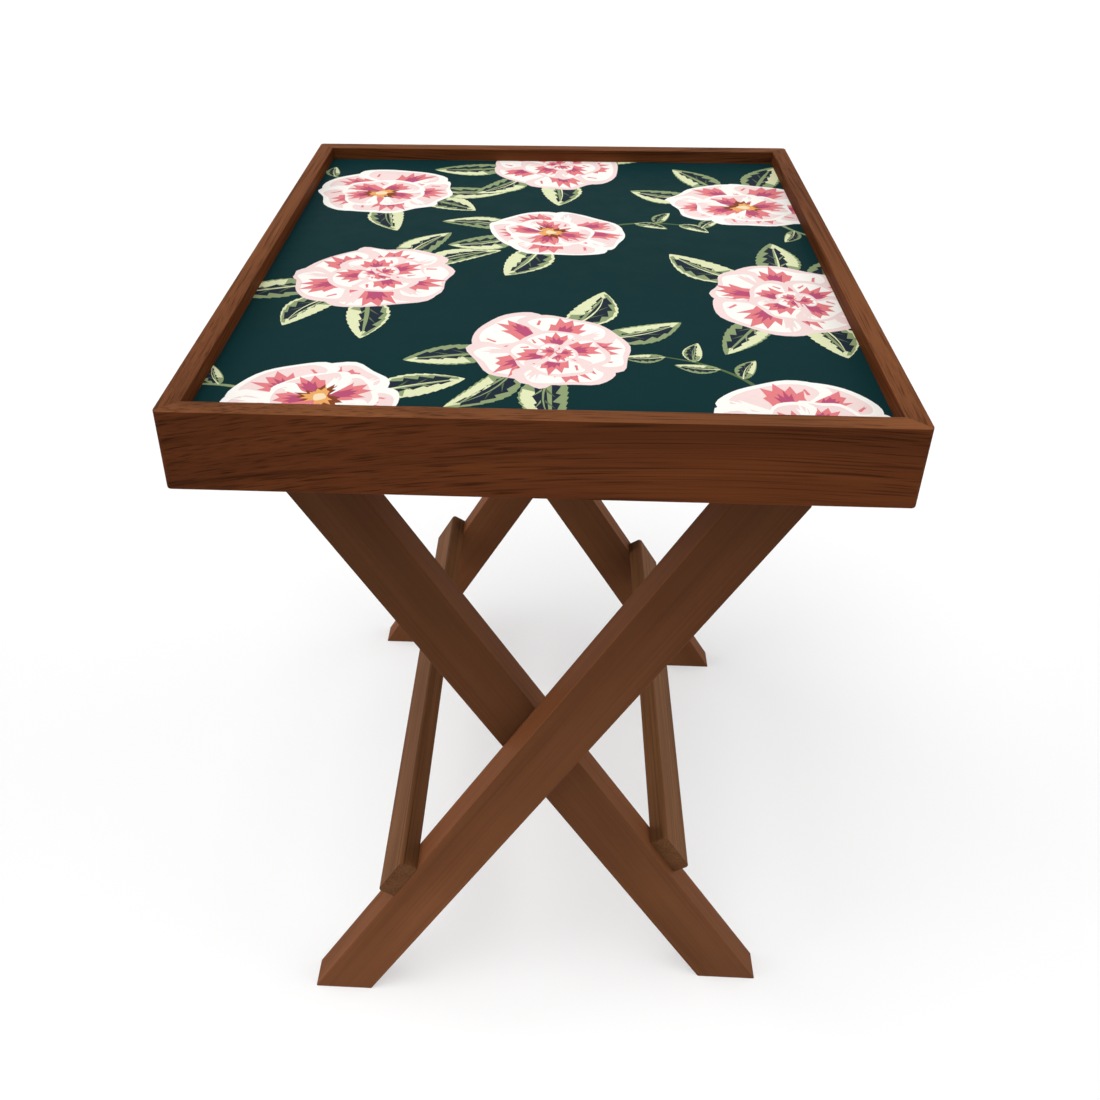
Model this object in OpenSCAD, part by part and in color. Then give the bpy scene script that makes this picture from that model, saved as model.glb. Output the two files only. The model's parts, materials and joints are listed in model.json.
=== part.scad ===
// Folding tray table: a framed tray with a printed panel, on two crossing leg frames.
// +X is to the right, +Y to the rear, +Z up. The origin is on the floor under the tray's centre.

/* [Tray] */
// Width of the tray, left to right
tray_w = 400; // [380:1:440]
// Depth of the tray, front to rear
tray_d = 490; // [485:1:540]
// Height of the table, floor to rim
table_h = 525; // [523:1:530]
// Height of the tray's frame boards
apron_h = 48; // [45:1:50]
// Thickness of the tray's frame boards
apron_t = 12; // [11:1:14]
// Radius of the tray's outer upright corners
corner_r = 3; // [1:0.5:5]
// Depth of the printed panel below the rim
recess = 10; // [8:1:11]
// Thickness of the board that carries the print
board_t = 3; // [3:0.5:4]
// Thickness of the printed top sheet
sheet_t = 1; // [1:0.5:1.5]

/* [Legs] */
// Thickness of a leg, front to rear
leg_t = 24; // [20:1:24]
// Width of a leg across its length
leg_w = 38; // [34:1:40]
// Angle of the outer leg frame above the floor
outer_angle = 59.4; // [59:0.1:60]
// Angle of the inner leg frame above the floor
inner_angle = 57.7; // [57:0.1:58]
// Sideways place of the scissor pivot
pivot_x = 2; // [0:0.5:3]
// Height of the scissor pivot
pivot_z = 247; // [245:1:248]
// Gap between the crossing legs, filled by a washer
leg_gap = 1; // [1:0.5:1.5]
// Distance from the pivot to the top rods
rod_reach = 248; // [246:0.5:250]
// Radius of the top rods
rod_r = 8; // [7:0.5:8]

/* [Stretchers] */
// Width of a lower stretcher along the leg
slat_w = 36; // [30:1:40]
// Thickness of a lower stretcher
slat_t = 13; // [10:1:15]
// Distance from the pivot down to the outer stretcher
outer_slat_at = 128.5; // [120:0.5:140]
// Distance from the pivot down to the inner stretcher
inner_slat_at = 132; // [120:0.5:140]

/* [Hidden] */
$fn = 64;

// Places that follow from the driving sizes
tray_z0 = table_h - apron_h;
panel_z = table_h - recess;
board_z1 = panel_z - sheet_t;
board_z0 = board_z1 - board_t;
inner_w = tray_w - 2 * apron_t;
inner_d = tray_d - 2 * apron_t;
groove = 5;
outer_y1 = 224;
outer_y0 = outer_y1 - leg_t;
inner_y1 = outer_y0 - leg_gap;
inner_y0 = inner_y1 - leg_t;
// The leg tops swing past the board with a little play
top_play = 0.8;
leg_top = sqrt(pow(board_z0 - top_play - pivot_z, 2) - pow(leg_w / 2, 2));
outer_top = [pivot_x + rod_reach * cos(outer_angle), pivot_z + rod_reach * sin(outer_angle)];
inner_top = [pivot_x - rod_reach * cos(inner_angle), pivot_z + rod_reach * sin(inner_angle)];
rod_seat = 16;
sides = [-1, 1];

// Small parts
fit = 0.08;
slat_edge_r = 3;
rail_t = 12;
rail_w = 32;
rail_z0 = board_z0 - rail_t;
hinge_rail_x = inner_top[0];
catch_rail_x = outer_top[0] + 12;
block_t = 22;
block_y0 = inner_y0 - 3 - block_t;
block_half = 16;
hinge_block_z0 = inner_top[1] - 14;
catch_gap = 0.4;
catch_x0 = outer_top[0] - 14;
stop_x = outer_top[0] + rod_r + catch_gap;
stop_z0 = outer_top[1] - 11;
corner_leg = 16;
corner_block_z0 = tray_z0 + 4;
screw_r = 2;
screw_head_r = 4;
screw_head_t = 2.5;
screw_l = 30;
screw_spread = [-10, 10];
dowel_r = 3;
dowel_l = 24;
rail_dowel_in = 7;
rail_dowel_spread = [-8, 8];
corner_dowel_z = [tray_z0 + 12, tray_z0 + 24];
corner_dowel_l = 10;
corner_dowel_r = 2;
slat_setback = 8;
slat_dowel_spread = [-10, 10];
slat_dowel_sink = 3;
inner_dowel_y = inner_y0 + 8;
outer_dowel_y = outer_y0 + leg_t / 2;
bolt_r = 4;
bolt_head_r = 6.5;
bolt_head_t = 5.5;
insert_r = 6;
insert_l = 18;
washer_r = 9;
bolt_grip = 15;

wood_apron = [0.35, 0.18, 0.10];
wood_leg = [0.36, 0.22, 0.14];
wood_slat = [0.42, 0.29, 0.21];
wood_hidden = [0.45, 0.32, 0.22];
metal = [0.66, 0.64, 0.58];

// The catch blocks' sloping underside is square to the outer leg, just clear of the rod
function roof_z(x) = pivot_z + (rod_reach + rod_r + catch_gap - (x - pivot_x) * cos(outer_angle))
                     / sin(outer_angle);

// An outline drawn in X and Z, made into a slab from y0 to y1
module slab_xz(y0, y1) {
    translate([0, y1, 0]) rotate([90, 0, 0]) linear_extrude(y1 - y0) children();
}

// Where the front or rear blocks start along Y
function block_start(side) = side > 0 ? block_y0 : -block_y0 - block_t;

// A rod along Y from y0 to y1 at [x, z]
module rod_y(at, y0, y1, r) {
    translate([at[0], y0, at[1]]) rotate([-90, 0, 0]) cylinder(r = r, h = y1 - y0);
}

// Places children on a leg: local +X runs from the pivot up the leg, local +Y is the leg's left-hand side
module on_leg(lean) {
    translate([pivot_x, pivot_z]) rotate(lean) children();
}

// ---- Tray ----

// The tray's outer block with rounded upright corners
module tray_block() {
    translate([0, 0, tray_z0]) linear_extrude(apron_h) {
        square([tray_w - 2 * corner_r, tray_d], center = true);
        square([tray_w, tray_d - 2 * corner_r], center = true);
        for (x = sides, y = sides)
            translate([x * (tray_w / 2 - corner_r), y * (tray_d / 2 - corner_r)]) circle(r = corner_r);
    }
}

// A frame board along X, front or rear, with a groove for the panel
module long_apron(side) {
    y_out = side * tray_d / 2;
    y_in = side * inner_d / 2;
    color(wood_apron) difference() {
        intersection() {
            translate([-tray_w / 2, min(y_out, y_in), tray_z0]) cube([tray_w, apron_t, apron_h]);
            tray_block();
        }
        // Groove for the panel
        translate([-inner_w / 2 - groove, side > 0 ? y_in - 1 : y_in - groove, board_z0])
            cube([inner_w + 2 * groove, groove + 1, board_t]);
        // Mitred ends
        for (end = sides)
            translate([end * tray_w / 2, y_out, tray_z0 - 1])
                linear_extrude(apron_h + 2)
                    polygon([[0, 0], [end, 0], [end, -side * (apron_t + 1)],
                             [-end * (apron_t + 1), -side * (apron_t + 1)]]);
        for (end = sides, z = corner_dowel_z) corner_dowel(end, side, z);
        for (x = [hinge_rail_x, catch_rail_x]) rail_dowel_set(x);
    }
}

// A frame board along Y, left or right, with a groove for the panel
module short_apron(side) {
    x_out = side * tray_w / 2;
    x_in = side * inner_w / 2;
    color(wood_apron) difference() {
        intersection() {
            translate([min(x_out, x_in), -tray_d / 2, tray_z0]) cube([apron_t, tray_d, apron_h]);
            tray_block();
        }
        translate([side > 0 ? x_in - 1 : x_in - groove, -inner_d / 2 - groove, board_z0])
            cube([groove + 1, inner_d + 2 * groove, board_t]);
        for (end = sides)
            translate([x_out, end * tray_d / 2, tray_z0 - 1])
                linear_extrude(apron_h + 2)
                    polygon([[0, 0], [0, end], [-side * (apron_t + 1), end],
                             [-side * (apron_t + 1), -end * (apron_t + 1)]]);
        for (end = sides, z = corner_dowel_z) corner_dowel(side, end, z);
    }
}

// A dowel across a mitre, square to the joint line
module corner_dowel(x_side, y_side, z) {
    mid = [x_side * (tray_w - apron_t) / 2, y_side * (tray_d - apron_t) / 2, z];
    translate(mid) rotate([0, 0, x_side * y_side > 0 ? -45 : 45]) rotate([0, 90, 0])
        cylinder(r = corner_dowel_r, h = corner_dowel_l, center = true);
}

module front_apron() { long_apron(-1); }
module rear_apron() { long_apron(1); }
module left_apron() { short_apron(-1); }
module right_apron() { short_apron(1); }

module corner_dowels() {
    color(wood_hidden) for (x_side = sides, y_side = sides, z = corner_dowel_z)
        corner_dowel(x_side, y_side, z);
}

module tray_board() {
    color(wood_hidden)
        translate([-inner_w / 2 - groove, -inner_d / 2 - groove, board_z0])
            cube([inner_w + 2 * groove, inner_d + 2 * groove, board_t]);
}

module printed_top() {
    color([0.07, 0.20, 0.20])
        translate([-inner_w / 2, -inner_d / 2, board_z1]) cube([inner_w, inner_d, sheet_t]);
}

// Triangular glue blocks in the corners under the board
module corner_blocks() {
    color(wood_hidden) for (x = sides, y = sides)
        translate([x * inner_w / 2, y * inner_d / 2, corner_block_z0])
            linear_extrude(board_z0 - corner_block_z0)
                polygon([[0, 0], [-x * corner_leg, 0], [0, -y * corner_leg]]);
}

// A cross batten under the board, from the front apron to the rear apron
module cross_rail(x) {
    color(wood_hidden) difference() {
        translate([x - rail_w / 2, -inner_d / 2, rail_z0]) cube([rail_w, inner_d, rail_t]);
        rail_dowel_set(x);
        block_screw_set(x);
    }
}

// Dowels that pin a rail's ends into the front and rear aprons
module rail_dowel_set(x) {
    for (y = sides, dx = rail_dowel_spread)
        translate([0, y * inner_d / 2, 0])
            rod_y([x + dx, rail_z0 + rail_t / 2], -rail_dowel_in, rail_dowel_in, dowel_r);
}

// Countersunk screws driven down through a rail into its blocks
module block_screw_set(x) {
    for (y = sides, dx = screw_spread)
        translate([x + dx, y * (block_y0 + block_t / 2), board_z0]) {
            translate([0, 0, -screw_l]) cylinder(r = screw_r, h = screw_l);
            translate([0, 0, -screw_head_t]) cylinder(r1 = screw_r, r2 = screw_head_r, h = screw_head_t);
        }
}

module hinge_rail() { cross_rail(hinge_rail_x); }
module catch_rail() { cross_rail(catch_rail_x); }

module rail_dowels() {
    color(wood_hidden) for (x = [hinge_rail_x, catch_rail_x]) rail_dowel_set(x);
}

module block_screws() {
    color(metal) for (x = [hinge_rail_x, catch_rail_x]) block_screw_set(x);
}

// A block that turns on the inner frame's top rod
module hinge_block(side) {
    y0 = block_start(side);
    color(wood_hidden) difference() {
        slab_xz(y0, y0 + block_t)
            translate([hinge_rail_x - block_half, hinge_block_z0])
                square([2 * block_half, rail_z0 - hinge_block_z0]);
        rod_y(inner_top, y0 - 1, y0 + block_t + 1, rod_r + fit);
        block_screw_set(hinge_rail_x);
    }
}

// A block that rests on the outer frame's top rod
module catch_block(side) {
    y0 = block_start(side);
    color(wood_hidden) difference() {
        slab_xz(y0, y0 + block_t)
            polygon([[catch_x0, rail_z0], [stop_x, rail_z0], [stop_x, roof_z(stop_x)],
                     [catch_x0, roof_z(catch_x0)]]);
        block_screw_set(catch_rail_x);
    }
}

// A stop beside each catch block, which keeps the rod from sliding outwards
module catch_stop(side) {
    y0 = block_start(side);
    color(wood_hidden) difference() {
        slab_xz(y0, y0 + block_t)
            translate([stop_x, stop_z0])
                square([catch_rail_x + rail_w / 2 - stop_x, rail_z0 - stop_z0]);
        block_screw_set(catch_rail_x);
    }
}

module front_hinge_block() { hinge_block(-1); }
module rear_hinge_block() { hinge_block(1); }
module front_catch_block() { catch_block(-1); }
module rear_catch_block() { catch_block(1); }
module front_catch_stop() { catch_stop(-1); }
module rear_catch_stop() { catch_stop(1); }

// ---- Leg frames ----

// Outline of a leg in X and Z: square at the top, cut level at the floor
module leg_outline(lean) {
    half = leg_w / 2;
    reach = pivot_z / abs(sin(lean));
    slant = half / tan(lean);
    translate([pivot_x, pivot_z]) rotate(lean)
        polygon([[leg_top, half], [leg_top, -half], [-reach + slant, -half], [-reach - slant, half]]);
}

// A leg with its rod hole. y_near and y_far are its faces, y_near the one nearer the tray's middle.
module leg(lean, rod_at, side, y_near, y_far, rod_in) {
    slab_y0 = side > 0 ? y_near : -y_far;
    hole_y0 = side > 0 ? y_near - 1 : -y_near - rod_in;
    difference() {
        slab_xz(slab_y0, slab_y0 + y_far - y_near) leg_outline(lean);
        rod_y(rod_at, hole_y0, hole_y0 + rod_in + 1, rod_r);
        children();
    }
}

module inner_leg(side) {
    color(wood_leg)
        leg(180 - inner_angle, inner_top, side, inner_y0, inner_y1, rod_seat) {
            rod_y([pivot_x, pivot_z], side > 0 ? inner_y0 - 1 : -inner_y1 - 1,
                  side > 0 ? inner_y1 + 1 : -inner_y0 + 1, bolt_r + fit);
            inner_dowel_set();
        }
}

module outer_leg(side) {
    color(wood_leg)
        leg(outer_angle, outer_top, side, outer_y0, outer_y1, rod_seat) {
            rod_y([pivot_x, pivot_z], side > 0 ? outer_y0 - 1 : -outer_y0 - insert_l,
                  side > 0 ? outer_y0 + insert_l : -outer_y0 + 1, insert_r);
            outer_dowel_set();
        }
}

module front_inner_leg() { inner_leg(-1); }
module rear_inner_leg() { inner_leg(1); }
module front_outer_leg() { outer_leg(-1); }
module rear_outer_leg() { outer_leg(1); }

// Lower stretchers lie on the legs' outer edges. The two long edges that face outwards are rounded.
module slat(lean, edge, at, y_end) {
    slab_xz(-y_end, y_end) on_leg(lean)
        translate([-at - slat_w, edge * leg_w / 2]) mirror([0, edge > 0 ? 0 : 1]) {
            square([slat_w, slat_t - slat_edge_r]);
            translate([slat_edge_r, 0]) square([slat_w - 2 * slat_edge_r, slat_t]);
            for (x = [slat_edge_r, slat_w - slat_edge_r])
                translate([x, slat_t - slat_edge_r]) circle(r = slat_edge_r);
        }
}

module inner_stretcher() {
    color(wood_slat) difference() {
        slat(180 - inner_angle, -1, inner_slat_at, inner_y1 - slat_setback);
        inner_dowel_set();
    }
}

module outer_stretcher() {
    color(wood_slat) difference() {
        slat(outer_angle, 1, outer_slat_at, outer_y1);
        outer_dowel_set();
    }
}

// Two dowels at each end of a stretcher, blind in the slat and in the leg's edge
module slat_dowels(lean, edge, at, y_mid) {
    for (y = sides, dx = slat_dowel_spread)
        translate([pivot_x, y * y_mid, pivot_z]) rotate([0, -lean, 0])
            translate([-at - slat_w / 2 + dx, 0, edge * (leg_w / 2 - slat_dowel_sink)])
                cylinder(r = dowel_r, h = dowel_l, center = true);
}

module inner_dowel_set() { slat_dowels(180 - inner_angle, -1, inner_slat_at, inner_dowel_y); }
module outer_dowel_set() { slat_dowels(outer_angle, 1, outer_slat_at, outer_dowel_y); }
module inner_stretcher_dowels() { color(wood_hidden) inner_dowel_set(); }
module outer_stretcher_dowels() { color(wood_hidden) outer_dowel_set(); }

module inner_top_rod() {
    color(wood_hidden) rod_y(inner_top, -inner_y0 - rod_seat, inner_y0 + rod_seat, rod_r);
}

module outer_top_rod() {
    color(wood_hidden) rod_y(outer_top, -outer_y0 - rod_seat, outer_y0 + rod_seat, rod_r);
}

// ---- Pivots ----

module pivot_bolt(side) {
    mirrored = side > 0 ? [0, 0, 0] : [0, 1, 0];
    color(metal) mirror(mirrored) translate([pivot_x, 0, pivot_z]) rotate([-90, 0, 0]) {
        translate([0, 0, inner_y0]) cylinder(r = bolt_r, h = inner_y1 - inner_y0 + leg_gap + bolt_grip);
        translate([0, 0, inner_y0 - bolt_head_t]) cylinder(r = bolt_head_r, h = bolt_head_t, $fn = 6);
    }
}

module front_pivot_bolt() { pivot_bolt(-1); }
module rear_pivot_bolt() { pivot_bolt(1); }

module pivot_inserts() {
    color(metal) for (side = sides) mirror(side > 0 ? [0, 0, 0] : [0, 1, 0]) difference() {
        rod_y([pivot_x, pivot_z], outer_y0, outer_y0 + insert_l, insert_r);
        rod_y([pivot_x, pivot_z], outer_y0 - 1, outer_y0 + bolt_grip, bolt_r);
    }
}

module pivot_washers() {
    color(metal) for (side = sides) mirror(side > 0 ? [0, 0, 0] : [0, 1, 0]) difference() {
        rod_y([pivot_x, pivot_z], inner_y1, outer_y0, washer_r);
        rod_y([pivot_x, pivot_z], inner_y1 - 1, outer_y0 + 1, bolt_r);
    }
}

front_apron();
rear_apron();
left_apron();
right_apron();
tray_board();
printed_top();
corner_blocks();
hinge_rail();
catch_rail();
front_hinge_block();
rear_hinge_block();
front_catch_block();
rear_catch_block();
front_catch_stop();
rear_catch_stop();
rail_dowels();
block_screws();
corner_dowels();
front_inner_leg();
rear_inner_leg();
inner_stretcher();
inner_top_rod();
inner_stretcher_dowels();
front_outer_leg();
rear_outer_leg();
outer_stretcher();
outer_top_rod();
outer_stretcher_dowels();
front_pivot_bolt();
rear_pivot_bolt();
pivot_inserts();
pivot_washers();
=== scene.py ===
"""Looks for the folding tray table: stained wood with eased edges, and a printed floral panel."""
import json
import math
import random

import bmesh
import bpy
import numpy as np
from mathutils import Matrix, Vector
from mathutils.geometry import delaunay_2d_cdt

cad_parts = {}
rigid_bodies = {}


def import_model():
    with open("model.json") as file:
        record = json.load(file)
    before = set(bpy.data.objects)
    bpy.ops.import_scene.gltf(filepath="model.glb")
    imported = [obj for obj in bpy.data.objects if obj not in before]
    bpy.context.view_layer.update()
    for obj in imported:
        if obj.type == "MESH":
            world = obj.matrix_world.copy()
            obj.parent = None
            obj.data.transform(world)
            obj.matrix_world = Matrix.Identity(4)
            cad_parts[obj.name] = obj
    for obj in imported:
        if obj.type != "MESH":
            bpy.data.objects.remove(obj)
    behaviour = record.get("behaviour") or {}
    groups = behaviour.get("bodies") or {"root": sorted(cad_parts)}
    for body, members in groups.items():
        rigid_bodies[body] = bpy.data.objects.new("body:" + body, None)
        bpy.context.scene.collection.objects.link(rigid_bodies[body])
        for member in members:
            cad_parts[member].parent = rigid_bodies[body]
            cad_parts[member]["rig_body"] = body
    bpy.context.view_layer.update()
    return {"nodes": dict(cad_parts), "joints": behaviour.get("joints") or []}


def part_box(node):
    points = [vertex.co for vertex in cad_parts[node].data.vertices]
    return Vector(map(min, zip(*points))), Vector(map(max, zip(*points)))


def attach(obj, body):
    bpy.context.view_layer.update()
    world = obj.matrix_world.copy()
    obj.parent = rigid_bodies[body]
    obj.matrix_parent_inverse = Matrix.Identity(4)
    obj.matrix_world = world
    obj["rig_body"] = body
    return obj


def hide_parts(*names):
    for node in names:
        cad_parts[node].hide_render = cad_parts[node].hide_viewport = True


MM = 0.001


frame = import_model()

# ---------------------------------------------------------------- places from the frame

PANEL_LOW, PANEL_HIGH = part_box("printed_top")
TRAY_HIGH_X, TRAY_HIGH_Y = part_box("right_apron")[1].x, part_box("rear_apron")[1].y
LEG_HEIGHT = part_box("front_outer_leg")[1].z
PIVOT = next(j for j in frame["joints"] if j["name"] == "scissor_fold")["pos_m"]


def leg_lean(rod):
    """The angle above +X of the legs that hold a top rod."""
    low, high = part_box(rod)
    return math.atan2((low.z + high.z) / 2 - PIVOT[2], (low.x + high.x) / 2 - PIVOT[0])


# ---------------------------------------------------------------- material helpers


def linear(rgb):
    """A colour from 0-255 sRGB to the linear numbers a shader takes."""
    out = []
    for c in rgb:
        c /= 255
        out.append(c / 12.92 if c <= 0.04045 else ((c + 0.055) / 1.055) ** 2.4)
    return (*out, 1.0)


class Graph:
    """A short way to add and link shader nodes."""

    def __init__(self, name):
        self.material = bpy.data.materials.new(name)
        self.material.use_nodes = True
        self.tree = self.material.node_tree
        self.shader = self.tree.nodes["Principled BSDF"]

    def add(self, kind, inputs=None, **settings):
        node = self.tree.nodes.new(kind)
        for key, value in settings.items():
            setattr(node, key, value)
        for key, value in (inputs or {}).items():
            self.put(node.inputs[key], value)
        return node

    def put(self, socket, value):
        if isinstance(value, bpy.types.NodeSocket):
            self.tree.links.new(value, socket)
        else:
            socket.default_value = value

    def finish(self, **inputs):
        """Sets shader inputs; an underscore in a name stands for a space."""
        for name, value in inputs.items():
            self.put(self.shader.inputs[name.replace("_", " ")], value)

    def coordinates(self):
        return self.add("ShaderNodeTexCoord").outputs["Object"]

    def turned(self, source, turn, shift=(0, 0, 0)):
        inputs = {"Vector": source, "Rotation": turn, "Location": shift}
        return self.add("ShaderNodeMapping", inputs).outputs[0]

    def noise(self, source, scale, detail=3.0, roughness=0.5):
        """Noise with so many cells per metre along X, Y and Z."""
        scaled = self.add("ShaderNodeMapping", {"Vector": source, "Scale": scale}).outputs[0]
        return self.add("ShaderNodeTexNoise", {"Vector": scaled, "Scale": 1.0, "Detail": detail,
                                               "Roughness": roughness}).outputs[0]

    def ramp(self, value, stops):
        """A colour or grey ramp from a list of (place, colour or grey)."""
        node = self.add("ShaderNodeValToRGB", {"Fac": value})
        elements = node.color_ramp.elements
        while len(elements) < len(stops):
            elements.new(0.5)
        for element, (place, colour) in zip(elements, stops):
            element.position = place
            element.color = colour if isinstance(colour, tuple) else (colour, colour, colour, 1)
        return node.outputs[0]

    def mix(self, a, b, factor=1.0, mode="MIX"):
        node = self.add("ShaderNodeMix", data_type="RGBA", blend_type=mode)
        self.put(node.inputs[0], factor)
        self.put(node.inputs[6], a)
        self.put(node.inputs[7], b)
        return node.outputs[2]

    def math(self, operation, a, b):
        return self.add("ShaderNodeMath", {0: a, 1: b}, operation=operation).outputs[0]

    def bump(self, height, strength, distance, after=None):
        node = self.add("ShaderNodeBump", {"Height": height, "Strength": strength, "Distance": distance})
        if after is not None:
            self.put(node.inputs["Normal"], after)
        return node.outputs[0]


def wood(name, turn, tones, seed, ring_gap=0.013, figure=0.42, grain=1.0, bow=(0.0, 0.0),
         painted_top_light=(1.0, 1.0, 1.0), painted_tray_shade=1.0):
    """Stained wood. turn makes X run along the grain; tones are dark, middle and light.

    ring_gap is the space between growth rings, figure is how dark they are, and grain how strong the fibres
    are. bow is how hard the grain curves and where along the board it lies level. worn is a painted
    highlight:
    how much paler the faces that look up are painted in red, green and blue, as if lit from above, and
    painted_tray_shade
    is painted shade: how much darker the other faces are painted near the tray than at the floor, as if in
    the tray's shadow."""
    g = Graph(name)
    lots = random.Random(seed)
    pith = (lots.uniform(-1, 1), lots.uniform(-0.03, 0.03), lots.uniform(0.07, 0.1))
    level = g.turned(g.coordinates(), turn)
    # The grain bows: how far it dips grows with the square of the distance from its level place
    along = g.math("SUBTRACT", g.add("ShaderNodeSeparateXYZ", {0: level}).outputs[0], bow[1])
    dip = g.math("MULTIPLY", g.math("MULTIPLY", along, along), bow[0])
    shift = g.add("ShaderNodeCombineXYZ", {1: g.math("MULTIPLY", dip, 0.4), 2: dip}).outputs[0]
    bowed = g.add("ShaderNodeVectorMath", {0: level, 1: shift}, operation="ADD").outputs[0]
    base = g.turned(bowed, (0, 0, 0), pith)
    # Growth rings round a pith line outside the board, bent by a slow noise and fading in and out
    slow = g.noise(base, (2.5, 9, 9), 2.0)
    bent = g.add("ShaderNodeVectorMath", {0: base, 1: g.mix((0, 0, 0, 1), (0, 0.015, 0.03, 1), slow)},
                 operation="ADD").outputs[0]
    rings = g.add("ShaderNodeTexWave", {"Vector": bent, "Scale": 0.314 / ring_gap, "Distortion": 1.0,
                                        "Detail": 3.0, "Detail Scale": 1.6, "Detail Roughness": 0.6},
                  wave_type="RINGS", rings_direction="X", wave_profile="SAW").outputs[1]
    ring_mask = g.ramp(g.noise(base, (4, 26, 26), 2.0), [(0.42, 0.05), (0.62, 1.0)])
    sweep = g.noise(base, (2.0, 30, 30), 3.0, 0.55)
    streak = g.noise(base, (1.6, 200, 200), 2.0, 0.5)
    fibre = g.noise(base, (5, 700, 700), 1.5, 0.5)
    hair = g.noise(base, (8, 1400, 1400), 1.0)
    cloud = g.noise(level, (12, 26, 26), 3.0)
    dark, middle, light = (linear(tone) for tone in tones)
    tone = g.ramp(sweep, [(0.28, dark), (0.5, middle), (0.74, light)])
    tone = g.mix(tone, g.ramp(rings, [(0.0, 1.0), (0.5, 1.0), (0.9, 1 - figure), (1.0, 0.97)]), ring_mask,
                 "MULTIPLY")
    tone = g.mix(tone, g.ramp(streak, [(0.3, 1 - 0.07 * grain), (0.5, 1.0), (0.72, 1 + 0.05 * grain)]), 1.0,
                 "MULTIPLY")
    tone = g.mix(tone, g.ramp(fibre, [(0.32, 1 - 0.36 * grain), (0.45, 1.0), (0.7, 1 + 0.1 * grain)]), 1.0,
                 "MULTIPLY")
    tone = g.mix(tone, g.ramp(hair, [(0.3, 1 - 0.3 * grain), (0.46, 1.0)]), 1.0, "MULTIPLY")
    tone = g.mix(tone, g.ramp(cloud, [(0.3, 0.92), (0.7, 1.06)]), 1.0, "MULTIPLY")
    facing = g.add("ShaderNodeTexCoord").outputs["Normal"]
    end = g.math("ABSOLUTE", g.add("ShaderNodeSeparateXYZ", {0: g.turned(facing, turn)}).outputs[0], 0)
    tone = g.mix(tone, g.ramp(end, [(0.8, 1.0), (0.97, 0.7)]), 1.0, "MULTIPLY")
    height = g.math("DIVIDE", g.add("ShaderNodeSeparateXYZ", {0: g.coordinates()}).outputs[2], LEG_HEIGHT)
    # Painted highlight: faces that look up are painted paler by worn, as if lit from above
    up = g.ramp(g.add("ShaderNodeSeparateXYZ", {0: facing}).outputs[2], [(0.3, 0.0), (0.52, 1.0)])
    # Painted shade: the other faces are painted darker towards the tray by painted_tray_shade, as if in the
    # tray's shadow
    tray_shade_ramp = g.ramp(height, [(0.2, 1.0), (1.0, painted_tray_shade)])
    tone = g.mix(tone, g.mix(tray_shade_ramp, (*painted_top_light, 1.0), up), 1.0, "MULTIPLY")
    normal = g.bump(hair, 0.12, 0.0003, g.bump(fibre, 0.15, 0.0004))
    g.finish(Base_Color=tone, Roughness=g.ramp(fibre, [(0.25, 0.62), (0.75, 0.48)]), Specular_IOR_Level=0.015,
             Normal=normal)
    return g.material


def ink(name, rgb):
    """A printed colour with a faint mottle."""
    g = Graph("ink_" + name)
    base = g.coordinates()
    paler = linear([c * 1.04 for c in rgb])
    colour = g.mix(linear(rgb), paler, g.noise(base, (900, 900, 900), 2.0))
    colour = g.mix(colour, g.ramp(g.noise(base, (14, 14, 14)), [(0.3, 0.96), (0.7, 1.03)]), 0.7, "MULTIPLY")
    g.finish(Base_Color=colour, Roughness=g.ramp(g.noise(base, (60, 60, 60), 4.0), [(0.3, 0.42), (0.7, 0.5)]),
             Specular_IOR_Level=0.01, Normal=g.bump(g.noise(base, (260, 260, 260), 2.0), 0.05, 0.0002))
    return g.material


def metal(name, rgb, roughness):
    """Zinc-plated steel or brass with fine turning marks."""
    g = Graph(name)
    marks = g.noise(g.coordinates(), (600, 3000, 600))
    g.finish(Base_Color=g.mix(linear(rgb), linear([c * 0.82 for c in rgb]), marks), Metallic=1.0,
             Roughness=g.ramp(marks, [(0.3, roughness - 0.06), (0.7, roughness + 0.1)]),
             Normal=g.bump(marks, 0.15, 0.0001))
    return g.material


# ---------------------------------------------------------------- wooden pieces with eased edges


# An edge is eased where its faces meet at more than this angle and it is longer than SHORT_EDGE
SHARP_ANGLE = math.radians(30)
SHORT_EDGE = 4 * MM
# Faces narrower than this are the ones that the easing made
EASED_WIDTH = 1.5 * MM


def eased(node, material, radius=0.8 * MM, leave_sharp=None, also=None):
    """A copy of a CAD board with its long edges eased, in place of the CAD node.

    leave_sharp names edges to leave, and also names short edges to ease as well."""
    source = frame["nodes"][node]
    bm = bmesh.new()
    bm.from_mesh(source.data)
    bmesh.ops.remove_doubles(bm, verts=bm.verts, dist=1e-6)
    bmesh.ops.dissolve_limit(bm, angle_limit=math.radians(0.5), verts=bm.verts, edges=bm.edges)
    bm.normal_update()
    edges = []
    for edge in bm.edges:
        if len(edge.link_faces) != 2 or edge.calc_face_angle(0) < SHARP_ANGLE:
            continue
        if leave_sharp and leave_sharp(edge):
            continue
        if edge.calc_length() > SHORT_EDGE or (also and also(edge)):
            edges.append(edge)
    bmesh.ops.bevel(bm, geom=edges, offset=radius, offset_type="OFFSET", segments=3, profile=0.5,
                    affect="EDGES", clamp_overlap=True)
    for face in bm.faces:
        face.smooth = len(face.verts) == 4 and min(e.calc_length() for e in face.edges) < EASED_WIDTH
    mesh = bpy.data.meshes.new(node + "_eased")
    bm.to_mesh(mesh)
    bm.free()
    piece = bpy.data.objects.new(node + "_wood", mesh)
    bpy.context.scene.collection.objects.link(piece)
    mesh.materials.append(material)
    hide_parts(node)
    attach(piece, source["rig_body"])


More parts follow.
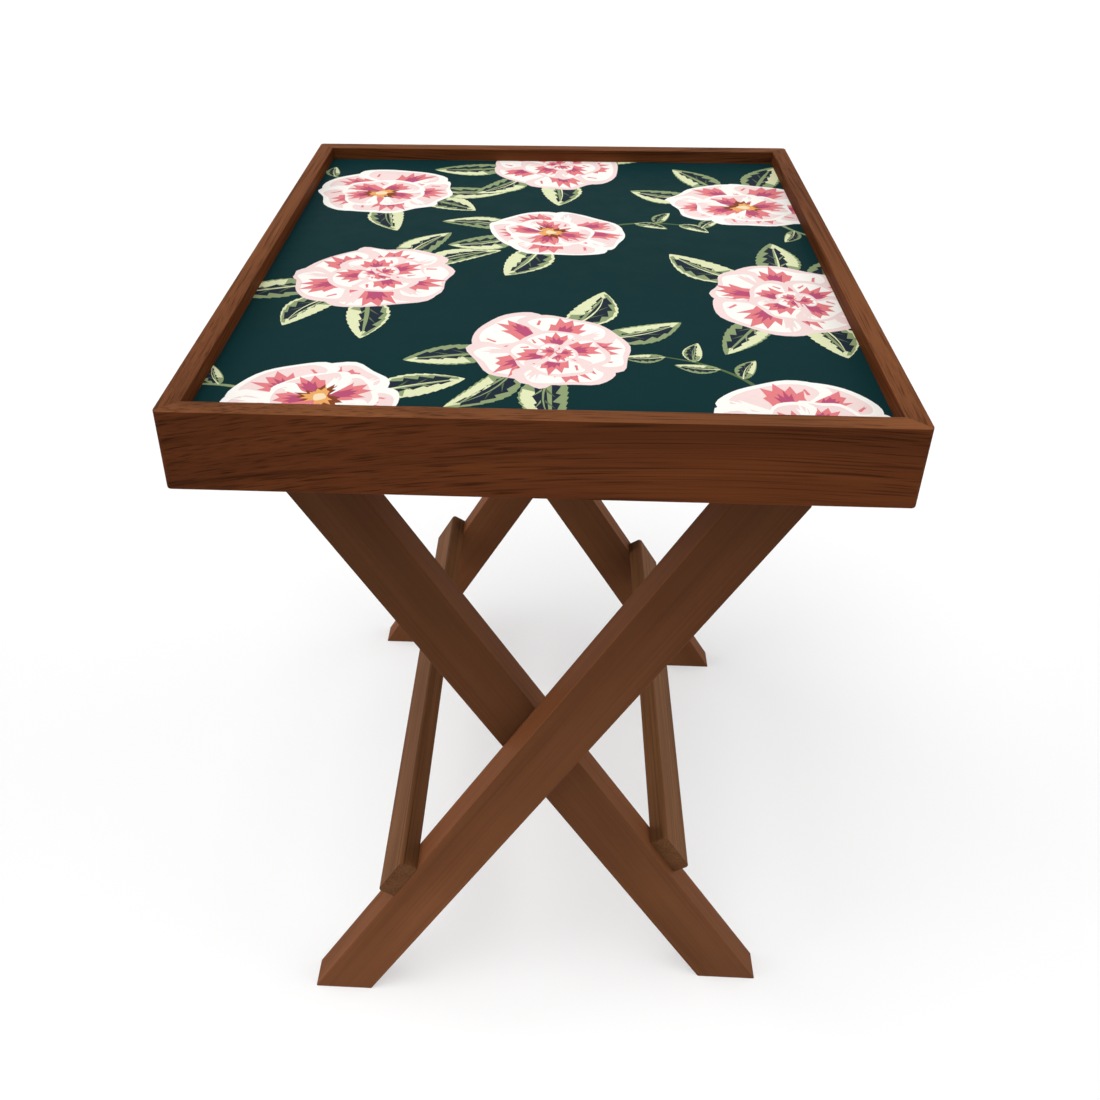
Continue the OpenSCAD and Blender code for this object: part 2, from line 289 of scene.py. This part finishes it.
def on_mitre(edge):
    """True where an edge lies on the slanting face of a mitre joint."""
    for face in edge.link_faces:
        middle, normal = face.calc_center_median(), face.normal
        outward = normal.x * math.copysign(1, middle.x) + normal.y * math.copysign(1, middle.y)
        if abs(normal.x) > 0.5 and abs(normal.y) > 0.5 and abs(outward) < 0.2:
            return True
    return False


# How near its outer corner a short edge of the tray is eased, and past which Y a stretcher's end lies
CORNER_REACH = 4 * MM
STRETCHER_END_Y = 170 * MM


def at_tray_corner(edge):
    """True for the short edges round the tray's rounded outer corners."""
    return all(abs(v.co.x) > TRAY_HIGH_X - CORNER_REACH and abs(v.co.y) > TRAY_HIGH_Y - CORNER_REACH
               for v in edge.verts)


def at_board_end(edge):
    """True for the short edges round the end of a lower stretcher."""
    y = edge.verts[0].co.y
    return abs(edge.verts[1].co.y - y) < 1e-6 and abs(y) > STRETCHER_END_Y


ALONG_X = (0, 0, 0)
ALONG_Y = (0, 0, math.radians(-90))
APRON_TONES = ((67, 34, 16), (81, 42, 20), (93, 50, 24))
REAR_APRON_TONES = ((78, 42, 22), (94, 52, 27), (107, 61, 32))
INNER_LEG_TONES = ((82, 50, 29), (91, 56, 34), (98, 61, 38))
OUTER_LEG_TONES = ((88, 53, 31), (97, 59, 36), (104, 65, 40))
SLAT_TONES = ((88, 56, 34), (101, 66, 41), (112, 76, 48))
PLAIN_TONES = ((84, 54, 34), (108, 72, 48), (128, 90, 62))
# Painted highlight: how much paler the up-facing faces of the long rims, side rims and leg edges are painted
# in red, green and blue, as if lit from above
LONG_RIM_TOP_LIGHT, SIDE_RIM_TOP_LIGHT, LEG_EDGE_TOP_LIGHT = (2.4, 3.0, 3.7), (1.8, 2.2, 2.8), (1.25, 1.2, 1.15)

for index, (side, turn, tones, bow, painted_top_light) in enumerate((
        ("front", ALONG_X, APRON_TONES, (0.34, 0.1), LONG_RIM_TOP_LIGHT),
        ("rear", ALONG_X, REAR_APRON_TONES, (-0.2, 0.0), SIDE_RIM_TOP_LIGHT),
        ("left", ALONG_Y, APRON_TONES, (0.12, 0.1), SIDE_RIM_TOP_LIGHT),
        ("right", ALONG_Y, APRON_TONES, (-0.12, 0.0), SIDE_RIM_TOP_LIGHT))):
    board = wood(side + "_apron_wood", turn, tones, 11 + index, bow=bow, painted_top_light=painted_top_light)
    eased(side + "_apron", board, leave_sharp=on_mitre, also=at_tray_corner)

for index, (stem, rod, tones) in enumerate((
        ("front_inner_leg", "inner_top_rod", INNER_LEG_TONES),
        ("rear_inner_leg", "inner_top_rod", INNER_LEG_TONES),
        ("front_outer_leg", "outer_top_rod", OUTER_LEG_TONES),
        ("rear_outer_leg", "outer_top_rod", OUTER_LEG_TONES))):
    # The legs get painted shade, darker towards the tray, through painted_tray_shade
    board = wood(stem + "_wood", (0, leg_lean(rod), 0), tones, 31 + index, 0.016, 0.08, 0.22,
                 painted_top_light=LEG_EDGE_TOP_LIGHT, painted_tray_shade=0.56)
    eased(stem, board, 1.0 * MM)

for index, stem in enumerate(("inner_stretcher", "outer_stretcher")):
    board = wood(stem + "_wood", ALONG_Y, SLAT_TONES, 41 + index, 0.016, 0.14, 0.8)
    eased(stem, board, also=at_board_end)

plain_y = wood("plain_wood_y", ALONG_Y, PLAIN_TONES, 51, grain=0.7)
plain_x = wood("plain_wood_x", ALONG_X, PLAIN_TONES, 52, grain=0.7)
for stem in ("hinge_rail", "catch_rail"):
    eased(stem, plain_y)
for stem in ("front_hinge_block", "rear_hinge_block", "front_catch_block", "rear_catch_block",
             "front_catch_stop", "rear_catch_stop", "corner_blocks"):
    eased(stem, plain_x)


def finish_node(node, material):
    """A CAD node that keeps its shape takes its material."""
    mesh = frame["nodes"][node].data
    mesh.materials.clear()
    mesh.materials.append(material)


for stem in ("inner_top_rod", "outer_top_rod", "rail_dowels", "tray_board"):
    finish_node(stem, plain_y)
for stem in ("corner_dowels", "inner_stretcher_dowels", "outer_stretcher_dowels"):
    finish_node(stem, plain_x)
steel = metal("zinc_steel", (170, 168, 160), 0.34)
for stem in ("front_pivot_bolt", "rear_pivot_bolt", "pivot_washers", "block_screws"):
    finish_node(stem, steel)
finish_node("pivot_inserts", metal("insert_brass", (196, 160, 92), 0.3))

# ---------------------------------------------------------------- the floral print, in millimetres

# Ink colours as 0-255 sRGB
INKS = {
    "ground": (15, 46, 48), "white": (238, 235, 229), "blush": (230, 207, 204), "coral": (214, 120, 124),
    "plum": (174, 78, 110), "gold": (222, 160, 94), "butter": (232, 210, 174), "umber": (128, 66, 40),
    "sage": (134, 149, 108), "lime": (212, 216, 174), "slate": (32, 42, 54), "moss": (84, 102, 68),
}
shapes = []


def draw(colour, outline):
    """Adds a flat shape on top of the earlier ones."""
    shapes.append((colour, outline))


def smooth(points, closed=True, steps=3):
    """A smooth curve through a few points, with so many steps from each point to the next."""
    count = len(points)
    out = []
    for i in range(count if closed else count - 1):
        near = [points[(i + k) % count if closed else min(max(i + k, 0), count - 1)] for k in (-1, 0, 1, 2)]
        for step in range(steps):
            t = step / steps
            out.append(tuple(0.5 * (2 * b + (c - a) * t + (2 * a - 5 * b + 4 * c - d) * t ** 2
                                    + (3 * b - a - 3 * c + d) * t ** 3) for a, b, c, d in zip(*near)))
    return out if closed else out + [points[-1]]


def polar(way, reach):
    """A point at an angle in degrees and a distance from the middle."""
    return (reach * math.cos(math.radians(way)), reach * math.sin(math.radians(way)))


class Flower:
    """A flower's own drawing space: the middle is (0, 0) and the rim is about 1 away."""

    def __init__(self, x, y, size, turn, flat, seed):
        self.x, self.y, self.size, self.flat = x, y, size, flat
        self.cos, self.sin = polar(turn, 1)
        self.middle = (0.0, 0.0)
        self.rng = random.Random(seed)

    def spot(self, way, reach):
        """A point round the middle of the ring that is being drawn."""
        dx, dy = polar(way, reach)
        return (self.middle[0] + dx, self.middle[1] + dy)

    def at(self, point):
        x, y = point[0] * self.size, point[1] * self.size * self.flat
        return (self.x + x * self.cos - y * self.sin, self.y + x * self.sin + y * self.cos)

    def blob(self, colour, points, jitter=0.0):
        """A smooth closed patch."""
        moved = [(x + self.rng.uniform(-jitter, jitter), y + self.rng.uniform(-jitter, jitter))
                 for x, y in points]
        draw(colour, [self.at(p) for p in smooth(moved)])

    def fan(self, colour, foot, angle, spread, length, tongues, foot_width):
        """A brush mark with a rounded foot and a jagged end. Angles are in degrees."""
        rim = []
        for i in range(2 * tongues + 1):
            u = i / tongues - 1
            share = self.rng.uniform(0.84, 1.08) if i % 2 else self.rng.uniform(0.6, 0.78)
            dx, dy = polar(angle - u * spread / 2, length * (1 - 0.34 * u * u) * share)
            rim.append((foot[0] + dx, foot[1] + dy))
        cos, sin = polar(angle, 1)
        for k in range(7):
            turn = math.pi * k / 6
            across, back = -math.cos(turn) * foot_width / 2, -math.sin(turn) * foot_width / 3
            rim.append((foot[0] + back * cos - across * sin, foot[1] + back * sin + across * cos))
        draw(colour, [self.at(p) for p in rim])

    def petal(self, way, spread, foot, reach, rim):
        """One petal that points to way: a pale rim, a middle of another tint, and brush marks up from its
        foot."""
        rng = self.rng
        depth = reach - foot
        wave = [rng.uniform(0.86, 1.06) for _ in range(5)]

        def outline(share, lower):
            """The petal's edge from foot to foot, narrowed to a share of its spread and lowered a little."""
            sides = [(0.42, 0.0), (0.86, 0.36), (1.0, 0.72)]
            edge = [(-side, up) for side, up in sides]
            edge += [(u, tip) for u, tip in zip((-0.74, -0.36, 0.04, 0.42, 0.78), wave)]
            edge += [(side, up) for side, up in sides[::-1]]
            return [self.spot(way + u * share * spread / 2, foot + depth * up * (1 - lower))
                    for u, up in edge]

        self.blob(rim, outline(1.0, 0.0), 0.012)
        self.blob("blush" if rim == "white" else "white", outline(0.8, 0.12), 0.014)
        # Coral over most of the petal, then plum, both a little to one side
        lean = rng.uniform(-0.16, 0.16) * spread
        self.fan("coral", self.spot(way + lean, foot), way + lean, spread * 0.92, depth * 0.9, 5, depth * 0.6)
        self.fan("plum", self.spot(way + lean, foot), way + lean, spread * 0.5, depth * 0.66, 4, depth * 0.24)
        # A pale fold along one side, and a fleck on the other
        side = rng.choice((-1, 1))
        self.fan(rim, self.spot(way + side * spread * 0.26, foot), way + side * spread * 0.36, 24,
                 depth * 0.9, 3, 0.07)
        self.fan("coral", self.spot(way - side * spread * 0.32, foot + depth * 0.5), way - side * 8, 26,
                 depth * 0.26, 2, 0.04)

    def heart(self, opened):
        """The middle: gold stamens in an open rose, or curled petals in a closed one."""
        if opened:
            for way in range(0, 360, 120):
                self.fan("umber", self.middle, way + self.rng.uniform(0, 60), 84, 0.3, 4, 0.12)
            for way in range(0, 360, 120):
                self.fan("gold", self.middle, way + self.rng.uniform(0, 60), 100, 0.22, 4, 0.14)
            self.blob("butter", [self.spot(way, 0.08) for way in range(0, 360, 60)], 0.02)
        else:
            for way in range(0, 360, 120):
                self.petal(way + self.rng.uniform(0, 50), 130, 0.02, 0.26, "blush")


# Petal rings from the outside in: how many petals, their spread in degrees, foot and reach
PETAL_RINGS = ((5, 98, 0.36, 1.0), (4, 116, 0.12, 0.62))


def rose(x, y, size, turn, flat, seed):
    """A rose of overlapping petal rings. Odd seeds are open and white-rimmed, even ones closed and blush."""
    f = Flower(x, y, size, turn, flat, seed)
    opened = seed % 2 == 1
    lean = f.rng.uniform(0, 360)
    # A coral disc under the petals, so that no ground shows between them
    f.blob("coral", [polar(way, 0.6) for way in range(0, 360, 45)])
    for index, (count, spread, foot, reach) in enumerate(PETAL_RINGS):
        f.middle = polar(lean, 0.13 * index)
        start = f.rng.uniform(0, 360)
        for k in range(count):
            way = start + (k + f.rng.uniform(-0.14, 0.14)) * 360 / count
            f.petal(way, spread * f.rng.uniform(0.9, 1.1), foot, reach * f.rng.uniform(0.93, 1.03),
                    "white" if opened else "blush")
    f.heart(opened)


def leaf(x0, y0, x1, y1, width, bend, seed, light=-1):
    """A leaf from its base to its tip: a toothed edge, a dark heart and a pale side.

    light is the side that is pale. The edge is sage, or lime round sage in one seed of three."""
    rng = random.Random(seed)
    length = math.hypot(x1 - x0, y1 - y0)
    ux, uy = (x1 - x0) / length, (y1 - y0) / length

    def place(t, side):
        """t runs along the leaf; side is across it, in shares of its half width."""
        across = side * width / 2 + bend * length * math.sin(math.pi * t)
        return (x0 + ux * length * t - uy * across, y0 + uy * length * t + ux * across)

    def half_width(t):
        return math.sin(math.pi * t ** 0.8) ** 0.8 if 0 < t < 1 else 0.0

    def toothed(share, first, last, steps, bite, side):
        """One edge from first to last, at a share of the half width, with teeth that point to the tip."""
        edge = []
        for i in range(steps + 1):
            t = first + (last - first) * i / steps
            edge.append(place(t, side * share * half_width(t)))
            if i < steps:
                late = min(t + (last - first) / steps * 0.82, last)
                edge.append(place(late, side * share * half_width(late) * (1 - bite * rng.uniform(0.6, 1.2))))
        return edge

    if seed % 3 == 2:
        draw("lime", toothed(1.0, 0.0, 1.0, 11, 0.07, 1) + toothed(1.0, 0.0, 1.0, 11, 0.07, -1)[::-1])
        draw("sage", toothed(0.86, 0.04, 0.94, 7, 0.1, 1) + toothed(0.86, 0.04, 0.94, 7, 0.1, -1)[::-1])
    else:
        draw("sage", toothed(1.0, 0.0, 1.0, 11, 0.07, 1) + toothed(1.0, 0.0, 1.0, 11, 0.07, -1)[::-1])
    draw("lime", toothed(0.9, 0.3, 0.98, 9, 0.08, light) + [place(0.84, -light * 0.12)]
         + toothed(0.3, 0.36, 0.84, 3, 0.3, light)[::-1])
    for side, share, first in ((light, 0.42, 0.14), (-light, 0.7, 0.1)):
        spine = [place(first, side * 0.1), place(0.84, side * 0.05)]
        draw("slate", toothed(share, first, 0.88, 5, 0.4, side) + spine[::-1])
        for k in range(2):
            t = 0.3 + 0.2 * k
            draw("sage" if side == light else "moss",
                 [place(t, side * 0.08), place(t + 0.16, side * 0.5 * half_width(t + 0.16)),
                  place(t + 0.05, side * 0.08)])
    rib = [place(i / 8, 0.07 * (1 - i / 8)) for i in range(9)]
    draw("sage" if seed % 2 else "lime", rib + [place(i / 8, -0.07 * (1 - i / 8)) for i in range(7, -1, -1)])


def stalk(points, width, colour):
    """A stalk through a few points."""
    line = smooth(points, False, 4)
    left, right = [], []
    for i, (x, y) in enumerate(line):
        (px, py), (qx, qy) = line[max(i - 1, 0)], line[min(i + 1, len(line) - 1)]
        length = math.hypot(qx - px, qy - py)
        half = width / 2 * (1 - 0.7 * i / len(line))
        nx, ny = -(qy - py) / length * half, (qx - px) / length * half
        left.append((x + nx, y + ny))
        right.append((x - nx, y - ny))
    draw(colour, left + right[::-1])


LEAF_ANGLE = 40


def spray(x, y, size, way, count, rng):
    """Leaves that fan out from behind a rose, LEAF_ANGLE degrees apart."""
    for k in range(count):
        turn = way + (k - (count - 1) / 2) * LEAF_ANGLE + rng.uniform(-6, 6)
        (x0, y0), (x1, y1) = polar(turn, 0.6 * size), polar(turn, size + rng.uniform(30, 44))
        leaf(x + x0, y + y0, x + x1, y + y1, rng.uniform(25, 33), rng.uniform(-0.12, 0.12),
             rng.randrange(1000), rng.choice((-1, 1)))


# A sprig: its leaves, the space between them, how far it curves and how far its leaves turn out, in degrees
SPRIG_LEAVES = 4
SPRIG_STEP = 16
SPRIG_CURVE = 26
SPRIG_LEAF_TURN = 48
SPRIG_LEAF_LENGTH = 26
SPRIG_LEAF_WIDTH = 12


def sprig(x, y, way, rng):
    """A curved stalk with small leaves by turns on its left and right."""
    bend = rng.choice((-1, 1)) * SPRIG_CURVE
    line = [polar(way + bend * k / SPRIG_LEAVES, SPRIG_STEP * k) for k in range(SPRIG_LEAVES + 1)]
    stalk([(x + dx, y + dy) for dx, dy in line], 3.0, rng.choice(("sage", "moss")))
    for k, (dx, dy) in enumerate(line[1:]):
        out = SPRIG_LEAF_TURN if k % 2 else -SPRIG_LEAF_TURN
        ex, ey = polar(way + bend * k / SPRIG_LEAVES + out, SPRIG_LEAF_LENGTH)
        leaf(x + dx, y + dy, x + dx + ex, y + dy + ey, SPRIG_LEAF_WIDTH, 0.08, rng.randrange(1000))


# The repeat: roses stand in columns, and each column starts higher than the one before
COLUMNS = (-1, 0, 1)
ROWS = (-1, 0, 1, 2)
COLUMN_GAP = 140
COLUMN_RISE = 74
ROW_GAP = 176
REPEAT_X, REPEAT_Y = 12, -128
# How far a rose may stand from its place in the repeat
STRAY = 12
PRINT_SEED = 8
FIRST_ROSE_SEED = 31


def draw_print():
    """The whole print: leaves and sprigs first, then the roses over them. X is right, Y to the rear."""
    rng = random.Random(PRINT_SEED)
    roses = []
    for column in COLUMNS:
        for row in ROWS:
            x = REPEAT_X + column * COLUMN_GAP + rng.uniform(-STRAY, STRAY)
            y = REPEAT_Y + column * COLUMN_RISE + row * ROW_GAP + rng.uniform(-STRAY, STRAY)
            size = rng.uniform(50, 62)
            # Roses that lie wholly or nearly off the panel are left out
            if abs(y) < PANEL_HIGH.y / MM + 0.6 * size:
                roses.append((x, y, size))
    for index, (x, y, size) in enumerate(roses):
        way = rng.uniform(0, 360)
        spray(x, y, size, way, 3, rng)
        if index % 2:
            spray(x, y, size, way + 170, 2, rng)
        else:
            dx, dy = polar(way + 180, size * 0.8)
            sprig(x + dx, y + dy, way + 180, rng)
    for index, (x, y, size) in enumerate(roses):
        rose(x, y, size, rng.uniform(0, 360), rng.uniform(0.84, 1.0), FIRST_ROSE_SEED + index)


def inside(spots, outline):
    """For each spot, whether it lies inside an outline: a ray to its right crosses it an odd number of
    times."""
    corners = np.array(outline)
    near = ((spots >= corners.min(axis=0)) & (spots <= corners.max(axis=0))).all(axis=1)
    x, y = spots[near, 0], spots[near, 1]
    odd = np.zeros(len(x), bool)
    for (ax, ay), (bx, by) in zip(outline, outline[1:] + outline[:1]):
        if ay != by:
            odd ^= ((ay > y) != (by > y)) & (x < (bx - ax) * (y - ay) / (by - ay) + ax)
    near[near] = odd
    return near


# Points of the outlines closer than this, in millimetres, become one
WELD = 1e-5


def print_panel():
    """The printed sheet: its top face is cut into regions, one ink each, all in one flat surface."""
    draw_print()
    x0, y0, x1, y1 = (v / MM for v in (PANEL_LOW.x, PANEL_LOW.y, PANEL_HIGH.x, PANEL_HIGH.y))
    outlines = [("ground", [(x0, y0), (x1, y0), (x1, y1), (x0, y1)])] + shapes
    points, edges = [], []
    for _, outline in outlines:
        first, count = len(points), len(outline)
        points += [Vector(p) for p in outline]
        edges += [(first + i, first + (i + 1) % count) for i in range(count)]
    verts, _, tris = delaunay_2d_cdt(points, edges, [], 0, WELD)[:3]
    flat = np.array([v[:] for v in verts])
    middles = flat[np.array([tuple(t) for t in tris])].mean(axis=1)
    names = list(INKS)
    owner = np.full(len(tris), -1)
    for colour, outline in outlines:
        owner[inside(middles, outline)] = names.index(colour)
    in_panel = inside(middles, outlines[0][1])
    bm = bmesh.new()
    made = {}

    def vert(i):
        if i not in made:
            made[i] = bm.verts.new((verts[i].x * MM, verts[i].y * MM, PANEL_HIGH.z))
        return made[i]

    for tri, ink_index, wanted in zip(tris, owner, in_panel):
        if wanted:
            face = bm.faces.new([vert(i) for i in tri])
            face.material_index = int(ink_index)
    bm.normal_update()
    for face in bm.faces:
        if face.normal.z < 0:
            face.normal_flip()
    # Sides and underside make it a closed sheet
    rim = [e for e in bm.edges if len(e.link_faces) == 1]
    walls = bmesh.ops.extrude_edge_only(bm, edges=rim)["geom"]
    for part in walls:
        if isinstance(part, bmesh.types.BMVert):
            part.co.z = PANEL_LOW.z
    bmesh.ops.edgeloop_fill(bm, edges=[part for part in walls if isinstance(part, bmesh.types.BMEdge)
                                       and all(abs(v.co.z - PANEL_LOW.z) < 1e-9 for v in part.verts)])
    bmesh.ops.recalc_face_normals(bm, faces=bm.faces)
    mesh = bpy.data.meshes.new("floral_panel")
    bm.to_mesh(mesh)
    bm.free()
    for name, rgb in INKS.items():
        mesh.materials.append(ink(name, rgb))
    piece = bpy.data.objects.new("floral_panel", mesh)
    bpy.context.scene.collection.objects.link(piece)
    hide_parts("printed_top")
    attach(piece, "tray")


print_panel()

# ---------------------------------------------------------------- camera, floor and light


def add_camera():
    """A view from the front and above, nearly square to the table.

    The lens, shift, turn and place are rounded results of a least-squares fit to the photograph's edges."""
    data = bpy.data.cameras.new("camera")
    data.sensor_width = 36
    data.lens = 37.3
    data.shift_x = 0.0545
    data.shift_y = -0.0182
    data.clip_end = 50
    camera = bpy.data.objects.new("camera", data)
    yaw, pitch, roll = 0.0629, -0.5989, 0.0076
    level = Matrix.Rotation(math.pi / 2, 4, "X")
    aim = Matrix.Rotation(yaw, 4, "Z") @ Matrix.Rotation(pitch, 4, "X") @ Matrix.Rotation(roll, 4, "Y")
    camera.matrix_world = Matrix.Translation((0.0081, -0.7566, 0.8061)) @ aim @ level
    bpy.context.scene.collection.objects.link(camera)
    bpy.context.scene.camera = camera


def add_floor():
    """A wide white floor that glows a little, so shadows stay pale."""
    bm = bmesh.new()
    bmesh.ops.create_grid(bm, x_segments=1, y_segments=1, size=12)
    mesh = bpy.data.meshes.new("floor")
    bm.to_mesh(mesh)
    bm.free()
    floor = bpy.data.objects.new("floor", mesh)
    bpy.context.scene.collection.objects.link(floor)
    g = Graph("floor_white")
    g.finish(Base_Color=(0.52, 0.52, 0.52, 1), Roughness=0.9, Specular_IOR_Level=0.1,
             Emission_Color=(1, 1, 1, 1), Emission_Strength=0.42)
    mesh.materials.append(g.material)


def add_sun(name, toward, strength, spread):
    """A distant light that shines along a direction; spread is its width in degrees."""
    data = bpy.data.lights.new(name, "SUN")
    data.energy = strength
    data.angle = math.radians(spread)
    light = bpy.data.objects.new(name, data)
    light.rotation_euler = Vector(toward).to_track_quat("-Z", "Y").to_euler()
    bpy.context.scene.collection.objects.link(light)


def add_light():
    """A surround that is white at eye level and dimmer above, three suns, and a faint light by the feet."""
    world = bpy.data.worlds.new("studio")
    world.use_nodes = True
    nodes, links = world.node_tree.nodes, world.node_tree.links
    direction = nodes.new("ShaderNodeSeparateXYZ")
    links.new(nodes.new("ShaderNodeTexCoord").outputs["Generated"], direction.inputs[0])
    ramp = nodes.new("ShaderNodeValToRGB")
    links.new(direction.outputs[2], ramp.inputs[0])
    ramp.color_ramp.elements.new(0.2)
    for element, (place, grey) in zip(ramp.color_ramp.elements, ((0.0, 1.0), (0.2, 0.92), (0.5, 0.34))):
        element.position = place
        element.color = (grey, grey, grey, 1)
    links.new(ramp.outputs[0], nodes["Background"].inputs[0])
    bpy.context.scene.world = world
    add_sun("key", (0.16, 0.3, -1), 1.4, 40)
    add_sun("left_fill", (1, 0, -0.35), 1.8, 60)
    add_sun("right_fill", (-1, 0, -0.35), 1.5, 60)
    low = bpy.data.lights.new("low_fill", "AREA")
    low.shape = "RECTANGLE"
    low.size = 0.8
    low.size_y = 0.2
    low.energy = 0.7
    light = bpy.data.objects.new("low_fill", low)
    light.location = (0, -0.66, 0.12)
    light.rotation_euler = (math.pi / 2, 0, 0)
    light.visible_camera = False
    bpy.context.scene.collection.objects.link(light)


add_camera()
add_floor()
add_light()
bpy.context.scene.view_settings.view_transform = "Standard"
